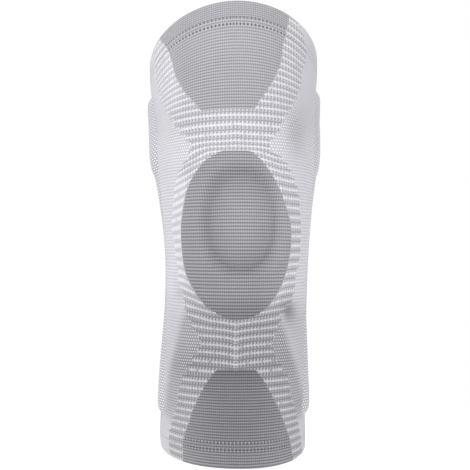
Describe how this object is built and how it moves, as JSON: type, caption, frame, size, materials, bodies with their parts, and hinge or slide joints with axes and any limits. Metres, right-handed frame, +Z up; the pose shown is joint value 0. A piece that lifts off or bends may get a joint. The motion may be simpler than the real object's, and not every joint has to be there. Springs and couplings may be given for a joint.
{
  "type": "knitted knee sleeve with a kneecap pad and side stay pockets",
  "caption": "Pre-bent knitted knee sleeve, open at both ends, with knit bands, an oval kneecap ring pad and stay pockets down both sides.",
  "frame": {"origin": "middle of the knee, in the middle of the hollow on the line from side to side", "axes": "+Z up along the leg, -Y out of the front of the knee, +X to the viewer's right as seen from the front"},
  "size_m": [0.1212, 0.155, 0.3143],
  "materials": {
    "ribbed_knit": "matt ribbed elastic knit in light and mid grey with white lines",
    "band_knit": "matt fine knit",
    "pocket_knit": "matt coarse mesh knit",
    "ring_pad": "matt soft rubber"
  },
  "bodies": {
    "root": {"knit_sleeve": "ribbed_knit", "thigh_band": "band_knit", "calf_band": "band_knit", "kneecap_pad": "ring_pad", "side_pocket_left": "pocket_knit", "side_pocket_right": "pocket_knit"}
  },
  "joints": []
}
